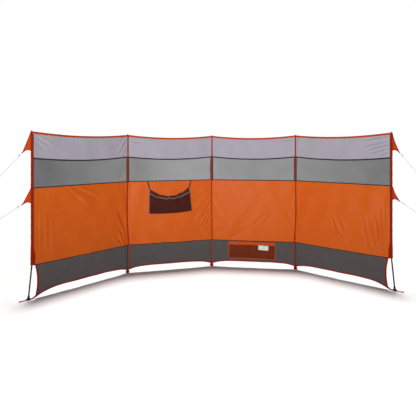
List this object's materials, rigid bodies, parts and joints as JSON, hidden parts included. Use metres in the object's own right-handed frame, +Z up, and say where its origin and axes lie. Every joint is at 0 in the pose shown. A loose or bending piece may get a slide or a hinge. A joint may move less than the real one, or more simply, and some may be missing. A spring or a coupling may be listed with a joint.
{
  "type": "beach windbreak",
  "caption": "Cloth windbreak with banded bays between upright poles, a net window band, a net skirt, a hanging pocket, a floor pocket, guy ropes and pegs.",
  "frame": {"origin": "middle of the flat underside of the centre pole's foot pocket, on the ground", "axes": "+Z up, +X to the right along the wall as seen from its sheltered side, -Y towards the people in its shelter"},
  "size_m": [6.242, 2.2463, 1.5],
  "materials": {
    "grey_cloth": "matt coated polyester",
    "window_net": "fine see-through net",
    "orange_cloth": "matt coated polyester",
    "skirt_net": "dense net",
    "black_pole": "black fibreglass rod",
    "sleeve_cloth": "folded polyester",
    "red_webbing": "woven webbing",
    "black_rubber": "moulded",
    "orange_binding": "woven binding tape",
    "charcoal_tape": "woven tape",
    "grey_tape": "woven tape",
    "pocket_net": "coarse net",
    "pale_rope": "braided",
    "slider_plastic": "moulded",
    "peg_steel": "zinc plated wire",
    "white_label": "smooth woven patch, blank"
  },
  "bodies": {
    "root": {"top_panel_1": "grey_cloth", "window_panel_1": "window_net", "main_panel_1": "orange_cloth", "skirt_panel_1": "skirt_net", "top_panel_2": "grey_cloth", "window_panel_2": "window_net", "main_panel_2": "orange_cloth", "skirt_panel_2": "skirt_net", "top_panel_3": "grey_cloth", "window_panel_3": "window_net", "main_panel_3": "orange_cloth", "skirt_panel_3": "skirt_net", "top_panel_4": "grey_cloth", "window_panel_4": "window_net", "main_panel_4": "orange_cloth", "skirt_panel_4": "skirt_net", "pole_1": "black_pole", "pole_2": "black_pole", "pole_3": "black_pole", "pole_4": "black_pole", "pole_5": "black_pole", "pole_sleeves": "sleeve_cloth", "tip_pockets": "red_webbing", "pole_feet": "black_rubber", "foot_pocket_left": "red_webbing", "foot_pocket_centre": "red_webbing", "foot_pocket_right": "red_webbing", "foot_straps": "red_webbing", "seam_bindings": "orange_binding", "top_hem": "orange_binding", "seam_tapes": "charcoal_tape", "skirt_hem": "orange_binding", "end_flaps_left": "sleeve_cloth", "end_flaps_right": "sleeve_cloth", "back_flaps": "sleeve_cloth", "guy_ropes": "pale_rope", "rope_sliders": "slider_plastic", "pegs": "peg_steel", "hanging_pocket_back": "pocket_net", "hanging_pocket_front": "pocket_net", "hanging_pocket_binding": "grey_tape", "hanging_straps": "grey_tape", "floor_pocket_net": "pocket_net", "floor_pocket_trim": "orange_binding", "blank_label": "white_label"}
  },
  "joints": []
}
